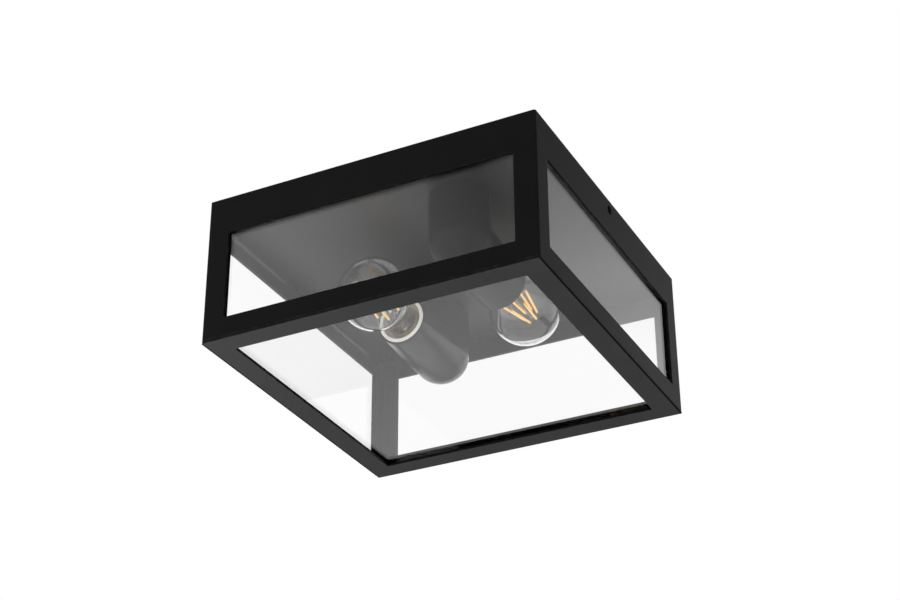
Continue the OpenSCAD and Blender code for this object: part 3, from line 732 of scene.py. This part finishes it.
def tip_mesh():
    """Domed solder blob, a little out of round."""
    def uneven(point, turn):
        lift = 0.05 * MM * math.sin(3 * turn) * min(1, point.xy.length / (3 * MM))
        return point + Vector((0, 0, lift))

    return lathe(outline(0, (0, 0.05), (1.5, 0.12), (2.8, 0.3), (3.8, 0.55), (4.4, 0.8),
                         (4.5, 1), (0, 1)), 48, uneven)


def stem_mesh():
    """Flared glass stem, its top pinched flat round the lead wires."""
    low = 22.4 * MM
    outside = outline(low, (11.2, 0), (11.25, 0.9), (8.6, 3), (6.4, 6), (4.9, 9), (4.2, 12))
    top = outline(STRIP_START, (3.6, -6), (3.2, -3.5), (2.5, -1.5), (2.2, 0), (2.2, 1.8),
                  (1.6, 2.8), (0, 3))
    inside = outline(low, (0, 12), (3, 11), (3.8, 9), (5.2, 6), (7.4, 3), (9.8, 0.9), (10, 0))

    pinch_start, pinch_length = STRIP_START - 7 * MM, 5 * MM

    def pinch(point, _turn):
        much = min(1.0, max(0.0, (point.z - pinch_start) / pinch_length))
        much = much * much * (3 - 2 * much)
        return Vector((point.x * (1 + 0.7 * much), point.y * (1 - 0.35 * much), point.z))

    return lathe(outside + top + inside, 64, pinch)


def beside_axis(out, reach_mm, height):
    return out * reach_mm * MM + Vector((0, 0, height))


def strip_line(index, count):
    """Ends of one light strip, which leans in upwards, and the way out from the axis to it."""
    first_turn, low_reach, high_reach = math.radians(37.5), 12.0, 6.0
    turn = first_turn + 2 * math.pi * index / count
    out = Vector((math.cos(turn), math.sin(turn), 0))
    low = beside_axis(out, low_reach, STRIP_START)
    return low, beside_axis(out, high_reach, STRIP_FINISH), out


def strip_mesh(count, radius):
    """Gel-coated strips: full in the middle, and drawn in at both ends."""
    bare_end, drawn_in = 1.2 * MM, 0.045
    stations = (0, 0.008, 0.02, 0.045, 0.25, 0.5, 0.75, 0.955, 0.98, 0.992, 1)

    def swell(t):
        ends = min(t, 1 - t) / drawn_in
        return radius * math.sqrt(max(0.06, 1 - (1 - min(1, ends)) ** 2))

    parts = []
    for i in range(count):
        low, high, _ = strip_line(i, count)
        along = (high - low).normalized()
        first, last = low + along * bare_end, high - along * bare_end
        parts.append(sweep([first.lerp(last, t) for t in stations], swell, 16))
    return joined(parts)


def lead_mesh(count):
    """Nickel leads: tabs on each strip, feet out of the stem, and a star on the middle rod."""
    start, finish = STRIP_START, STRIP_FINISH
    wire_r, tab_r, rod_r = 0.3 * MM, 0.42 * MM, 0.55 * MM
    knob = outline(finish, (0, -0.4), (0.9, -0.2), (1, 0.4), (0.6, 1), (0, 1.2))
    parts = [sweep([(0, 0, start + 2 * MM), (0, 0, finish + 0.9 * MM)], rod_r, 12),
             lathe(knob, 24)]
    for i in range(count):
        low, high, out = strip_line(i, count)
        along = (high - low).normalized()
        foot = [beside_axis(out, 1.9, start + 0.4 * MM), beside_axis(out, 5.0, start - MM),
                beside_axis(out, 10.0, start - 0.9 * MM), low + along * 0.3 * MM]
        arm = [Vector((0, 0, finish)), beside_axis(out, 2.8, finish + 0.9 * MM),
               beside_axis(out, 5.2, finish + 0.8 * MM), high - along * 0.3 * MM]
        parts += [sweep([low - along * 0.2 * MM, low + along * 3.0 * MM], tab_r, 8),
                  sweep([high - along * 3.0 * MM, high + along * 0.2 * MM], tab_r, 8),
                  sweep(bent(foot, 6), wire_r, 8), sweep(bent(arm, 6), wire_r, 8)]
    for x in (-1.6 * MM, 1.6 * MM):
        lead = [(x * 1.5, 0, 21 * MM), (x * 1.1, 0, 30 * MM), (x, 0, start - 2 * MM)]
        parts.append(sweep(bent(lead, 6), wire_r, 8))
    return joined(parts)


# ---- operators ----

class LANTERN_OT_cover(bpy.types.Operator):
    """Paints the sheet-steel cover, its corner angles and its press nuts"""

    bl_idname = "lantern.cover"
    bl_label = "Cover"

    def execute(self, context):
        dress(paint(context.scene, "Black powder coat"), "front_panel", "back_panel",
              "left_panel", "right_panel", "bottom_panel")
        dress(paint(context.scene, "Black angle coat", wear=0.8, dust=0.1), "glass_corner_angles")
        dress(bare("Zinc plate"), "press_nuts")
        self.seams(context)
        return {"FINISHED"}

    def seams(self, context):
        """Near-black beads of painted shadow along the seams under the side walls, and flat
        collars in the same near-black coat round the clamp screws' holes
        """
        low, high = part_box("bottom_panel")
        screw_low, screw_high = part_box("right_clamp_screw")
        hole_z, hole_r = (screw_low.z + screw_high.z) / 2, (screw_high.z - screw_low.z) / 2
        inset, bead_r = 0.5 * MM, 0.75 * MM
        back, front = -0.02 * MM, 0.22 * MM
        collar = lathe([(hole_r + 0.15 * MM, back), (hole_r + 1.7 * MM, back),
                        (hole_r + 1.6 * MM, front), (hole_r + 0.3 * MM, front)], 48)
        reach = Vector((0, high.y - 1.5 * MM, 0))
        parts = []
        for x in (-1, 1):
            middle = Vector((x * (high.x - inset), 0, low.z + inset))
            parts.append(sweep([middle - reach, middle, middle + reach], bead_r, 12))
            place = Matrix.Translation((x * high.x, 0, hole_z))
            parts.append(moved(collar, place @ Matrix.Rotation(x * math.pi / 2, 4, "Y")))
        # Near-black with no gloss: painted shadow that stands in for the shaded gap along the
        # seams; the collars wear it too
        seam_shadow = paint(context.scene, "Black painted seam shadow", colour=(0.003, 0.003, 0.003), wear=0.0,
                     dust=0.0, level=0.0)
        dressed(seam_shadow, new_piece("cover_seam_shadows", joined(parts), "cover", sharp=40))


class LANTERN_OT_panes(bpy.types.Operator):
    """Glazes the five panes and lays the sponge seal"""

    bl_idname = "lantern.panes"
    bl_label = "Panes"

    def execute(self, context):
        own = context.scene.lantern_panes
        for name, ior, nodes in (
            ("Pane glass", 1.45, ("front_glass", "right_glass")),
            ("Bottom pane glass", 1.40, ("bottom_glass",)),
            ("Coated pane glass", 1.25, ("back_glass", "left_glass")),
        ):
            dress(pane_finish(name, own.tint, own.smudge, ior), *nodes)
        dress(moulded_finish("Sponge seal", (0.02, 0.02, 0.021), 0.85, grain=1600.0, depth=0.0002),
              "bottom_glass_seal")
        return {"FINISHED"}


class LANTERN_OT_clamp_screws(bpy.types.Operator):
    """Makes the two socket set screws that clamp the cover"""

    bl_idname = "lantern.clamp_screws"
    bl_label = "Clamp screws"

    def execute(self, context):
        oxide = bare("Black oxide")
        key, key_depth = 2 * MM, 1.7 * MM
        sunk = 1.6 * MM  # how much shorter than its solid, so that it lies inside the face
        for side, facing in (("left", -1), ("right", 1)):
            node = f"{side}_clamp_screw"
            low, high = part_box(node)
            middle = (low + high) / 2
            inner = high.x if side == "left" else low.x
            place = Matrix.Translation((inner, middle.y, middle.z)) @ Matrix.Rotation(
                facing * math.pi / 2, 4, "Y")
            shape = clamp_screw_mesh((high.y - low.y) / 2, high.x - low.x - sunk, key, key_depth)
            piece = new_piece(f"{side}_set_screw", shape, f"{side}_clamp",
                              sharp=40, place=place)
            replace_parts(dressed(oxide, piece), node)
        return {"FINISHED"}


class LANTERN_OT_ceiling_box(bpy.types.Operator):
    """Finishes the ceiling box, its grommet and its standoffs"""

    bl_idname = "lantern.ceiling_box"
    bl_label = "Ceiling box"

    def execute(self, context):
        dress(paint_finish("White box coat", (0.62, 0.62, 0.61), (0.40, 0.40, 0.40), 0.42,
                           context.scene.lantern_paint.grain, 0.0004, wear=0.5, dust=0.5,
                           level=0.5), "ceiling_box")
        dress(moulded_finish("Grommet rubber", (0.018, 0.018, 0.018), 0.62, grain=500.0,
                             depth=0.00006, edge=0.0005), "cable_grommet")
        dress(bare("Zinc plate"), "tray_standoffs", "nipples", "nipple_nuts")
        return {"FINISHED"}


class LANTERN_OT_tray(bpy.types.Operator):
    """Paints the lamp tray and drives its four corner screws"""

    bl_idname = "lantern.tray"
    bl_label = "Lamp tray"

    def execute(self, context):
        dress(smooth_paint(context.scene, "Smooth black coat", level=0.42), "lamp_tray")
        low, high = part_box("tray_screws")
        tray_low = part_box("lamp_tray")[0].z
        head_r, shank_r = 2.8 * MM, 1.5 * MM
        reach = high.x - head_r
        screw = pan_head_mesh(head_r, tray_low - low.z, shank_r, high.z - tray_low)
        parts = []
        for i, (x, y) in enumerate(((1, 1), (-1, 1), (-1, -1), (1, -1))):
            place = Matrix.Translation((x * reach, y * reach, tray_low))
            stopped_at = 0.6 + 1.3 * i
            parts.append(moved(screw, place @ Matrix.Rotation(stopped_at, 4, "Z")))
        piece = new_piece("tray_screw_set", joined(parts), "fixture", sharp=40)
        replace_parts(dressed(bare("Black oxide"), piece), "tray_screws")
        return {"FINISHED"}


class LANTERN_OT_wiring(bpy.types.Operator):
    """Finishes the terminal block, the earth stud and the wires"""

    bl_idname = "lantern.wiring"
    bl_label = "Wiring"

    def execute(self, context):
        dress(moulded_finish("Nylon", (0.78, 0.76, 0.70), 0.45), "terminal_block")
        dress(bare("Brass"), "terminal_tubes", "earth_stud", "earth_ring", "earth_nuts")
        dress(bare("Zinc plate"), "terminal_screws", "terminal_block_screw")
        sleeves = (
            ("Brown sleeve", (0.16, 0.06, 0.025), ("left_live_wire", "right_live_wire")),
            ("Blue sleeve", (0.035, 0.13, 0.40), ("left_neutral_wire", "right_neutral_wire")),
            ("Green sleeve", (0.24, 0.42, 0.05), ("earth_wire",)),
        )
        for name, colour, nodes in sleeves:
            dress(moulded_finish(name, colour, 0.4, grain=300.0, depth=0.00002, edge=0.0), *nodes)
        return {"FINISHED"}


class LANTERN_OT_lampholders(bpy.types.Operator):
    """Finishes the cast elbows, the porcelain sockets and the brass in them"""

    bl_idname = "lantern.lampholders"
    bl_label = "Lampholders"

    def execute(self, context):
        for side, roughness, level in (("left", 0.24, 0.45), ("right", 0.46, 0.18)):
            coat = smooth_paint(context.scene, f"Black {side} casting coat", roughness=roughness,
                                level=level, edge=0.0, relief=0.0002)
            dress(coat, f"{side}_elbow")
            dress(bare("Brass"), f"{side}_screw_shell", f"{side}_tip_contact")
        # The porcelain sockets get a painted glow of the lamp's light, and painted shade deeper in
        # their holes
        dress(porcelain_finish("Porcelain", (0.97, 0.95, 0.90), (0.92, 0.89, 0.82),
                               (0.58, 0.52, 0.40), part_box("left_socket")[0].y),
              "left_socket", "right_socket")
        dress(bare("Brass"), "socket_terminals")
        dress(bare("Zinc plate"), "socket_screws")
        return {"FINISHED"}


class LANTERN_OT_lamps(bpy.types.Operator):
    """Builds the two clear lamps: globe, cap, tip, stem, leads and light strips"""

    bl_idname = "lantern.lamps"
    bl_label = "Lamps"

    def execute(self, context):
        own = context.scene.lantern_lamps
        glass, nickel = globe_finish("Lamp glass", (0.995, 0.995, 0.99)), bare("Nickel")
        black = moulded_finish("Black cap glass", (0.012, 0.012, 0.013), 0.2, grain=300.0)
        parts = {  # shape, record slot, angle above which its edges stay crisp, finish
            "glass": (lathe(globe_profile(own.wall), 128), "bulb_glass", 60, glass),
            "cap": (cap_mesh(own.pitch), "cap_nickel", 50, nickel),
            "insulator": (insulator_mesh(), "black_glass", 40, black),
            "tip": (tip_mesh(), "solder", 60, bare("Solder")),
            "stem": (stem_mesh(), "bulb_glass", 60, glass),
            "leads": (lead_mesh(own.strips), "cap_nickel", 50, nickel),
            "strips": (strip_mesh(own.strips, own.strip_radius), "strip_phosphor", 60,
                       strip_finish("Lit strip", own.glow)),
        }
        for side in ("left", "right"):
            place = lamp_place(side)
            for part, (shape, slot, sharp, finish) in parts.items():
                piece = new_piece(f"{side}_lamp_{part}", shape, f"{side}_lamp", sharp, place)
                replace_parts(dressed(finish, piece), f"{side}_bulb_{part}")
        return {"FINISHED"}


FLOOR_R = 9.0
CAMERA_PLACE = Vector((0.6023, -1.2025, -0.8114))
CAMERA_AHEAD = (-0.3905, 0.7794, 0.4900)
CAMERA_RIGHT = (0.895, 0.446, -0.007)

# Where one light of the room gives way to the next, along the direction's own x, y or z
WINDOW_X = (-0.50, -0.33)
WALL_Z = (0.41, 0.58)
BEHIND_Y = (-0.2, 0.2)
ABOVE_Z = (0.0, 0.3)

# Place, diameter and watts of the soft lights, and the point they face
SOFT_LIGHTS = {
    "Soft key": ((-1.0, 0.6, -1.3), 1.4, 30.0),
    "Soft low": ((-0.1, 0.6, -1.5), 1.6, 48.0),
    "Soft top": ((0.4, 1.2, 3.5), 2.0, 25.0),
}
LIGHTS_AIM = Vector((0, 0, -0.06))


class LANTERN_OT_stage(bpy.types.Operator):
    """Sets up the floor, the soft light and the camera"""

    bl_idname = "lantern.stage"
    bl_label = "Stage"

    def execute(self, context):
        own = context.scene.lantern_stage
        self.floor(context.scene, own)
        self.room(context.scene, own)
        self.lights(context.scene)
        self.camera(context.scene, own)
        context.scene.view_settings.view_transform = "Standard"
        return {"FINISHED"}

    def floor(self, scene, own):
        mesh = bpy.data.meshes.new("porch_floor")
        bm = bmesh.new()
        bmesh.ops.create_circle(bm, cap_ends=True, segments=96, radius=FLOOR_R)
        bm.to_mesh(mesh)
        bm.free()
        floor = bpy.data.objects.new("porch_floor", mesh)
        floor.location.z = -own.floor_drop
        scene.collection.objects.link(floor)
        material, tree, shader = new_material("Pale floor")
        tone = blend_colour(tree, noise(tree, 3.0, 4), shaded(own.floor, 0.985), own.floor)
        feed(tree, shader, {"Base Color": tone, "Roughness": 0.9, "Specular IOR Level": 0.1})
        mesh.materials.append(material)

    def room(self, scene, own):
        """White to the camera; mirrored, a pale room with a window and a darker ceiling"""
        world = bpy.data.worlds.new("Room")
        scene.world = world
        world.use_nodes = True
        tree = world.node_tree
        path = add(tree, "ShaderNodeLightPath").outputs
        ahead = split(tree, coordinates(tree, "Generated"))
        window = fade(tree, ahead["X"], WINDOW_X, own.window, own.ceiling)
        wall = fade(tree, ahead["Z"], WALL_Z, own.room, own.ceiling)
        behind = fade(tree, ahead["Y"], BEHIND_Y, 0.0, 1.0)
        above = fade(tree, ahead["Z"], ABOVE_Z, 0.0, 1.0)
        room = mix_values(tree, above, own.room, mix_values(tree, behind, window, wall))
        mirrored = math_node(tree, "MINIMUM", path["Glossy Depth"], 1.0)
        scattered = math_node(tree, "MINIMUM", path["Diffuse Depth"], 1.0)
        level = mix_values(tree, mirrored, 1.0, room)
        level = mix_values(tree, scattered, level, own.room)
        feed(tree, tree.nodes["Background"], {"Color": (1, 1, 1), "Strength": level})

    def lights(self, scene):
        for name, (place, size, power) in SOFT_LIGHTS.items():
            data = bpy.data.lights.new(name, "AREA")
            data.shape, data.size, data.energy = "DISK", size, power
            light = bpy.data.objects.new(name, data)
            light.location = place
            aim = LIGHTS_AIM - Vector(place)
            light.rotation_mode = "QUATERNION"
            light.rotation_quaternion = aim.to_track_quat("-Z", "Y")
            light.visible_camera = light.visible_transmission = False
            scene.collection.objects.link(light)

    def camera(self, scene, own):
        data = bpy.data.cameras.new("Camera")
        data.lens, data.sensor_width = own.lens, 36.0
        data.clip_start, data.clip_end = 0.01, 50.0
        camera = bpy.data.objects.new("Camera", data)
        ahead = Vector(CAMERA_AHEAD).normalized()
        right = Vector(CAMERA_RIGHT)
        right = (right - ahead * right.dot(ahead)).normalized()
        axes = Matrix((right, right.cross(ahead), -ahead)).transposed()
        camera.matrix_world = Matrix.Translation(CAMERA_PLACE) @ axes.to_4x4()
        scene.collection.objects.link(camera)
        scene.camera = camera


OPERATORS = (
    LANTERN_OT_cover, LANTERN_OT_panes, LANTERN_OT_clamp_screws, LANTERN_OT_ceiling_box,
    LANTERN_OT_tray, LANTERN_OT_wiring, LANTERN_OT_lampholders, LANTERN_OT_lamps,
    LANTERN_OT_stage,
)


class LANTERN_PT_panel(bpy.types.Panel):
    """Lists the lantern's pieces and their sizes and colours"""

    bl_idname = "LANTERN_PT_panel"
    bl_label = "Porch lantern"
    bl_space_type = "VIEW_3D"
    bl_region_type = "UI"
    bl_category = "Lantern"

    def draw(self, context):
        for operator in OPERATORS:
            self.layout.operator(operator.bl_idname)
        for label in SETTINGS:
            box = self.layout.box()
            own = getattr(context.scene, label)
            for prop in own.__annotations__:
                box.prop(own, prop)


SETTINGS = {
    "lantern_paint": LANTERN_PG_paint,
    "lantern_panes": LANTERN_PG_panes,
    "lantern_lamps": LANTERN_PG_lamps,
    "lantern_stage": LANTERN_PG_stage,
}


def register():
    for cls in (*SETTINGS.values(), *OPERATORS, LANTERN_PT_panel):
        bpy.utils.register_class(cls)
    for label, cls in SETTINGS.items():
        setattr(bpy.types.Scene, label, PointerProperty(type=cls))


def unregister():
    for label in SETTINGS:
        delattr(bpy.types.Scene, label)
    for cls in reversed((*SETTINGS.values(), *OPERATORS, LANTERN_PT_panel)):
        bpy.utils.unregister_class(cls)


def main():
    register()
    for operator in OPERATORS:
        name = operator.bl_idname.split(".")[1]
        if getattr(bpy.ops.lantern, name)() != {"FINISHED"}:
            raise RuntimeError(f"{operator.bl_label} was not made")


if __name__ == "__main__":
    main()
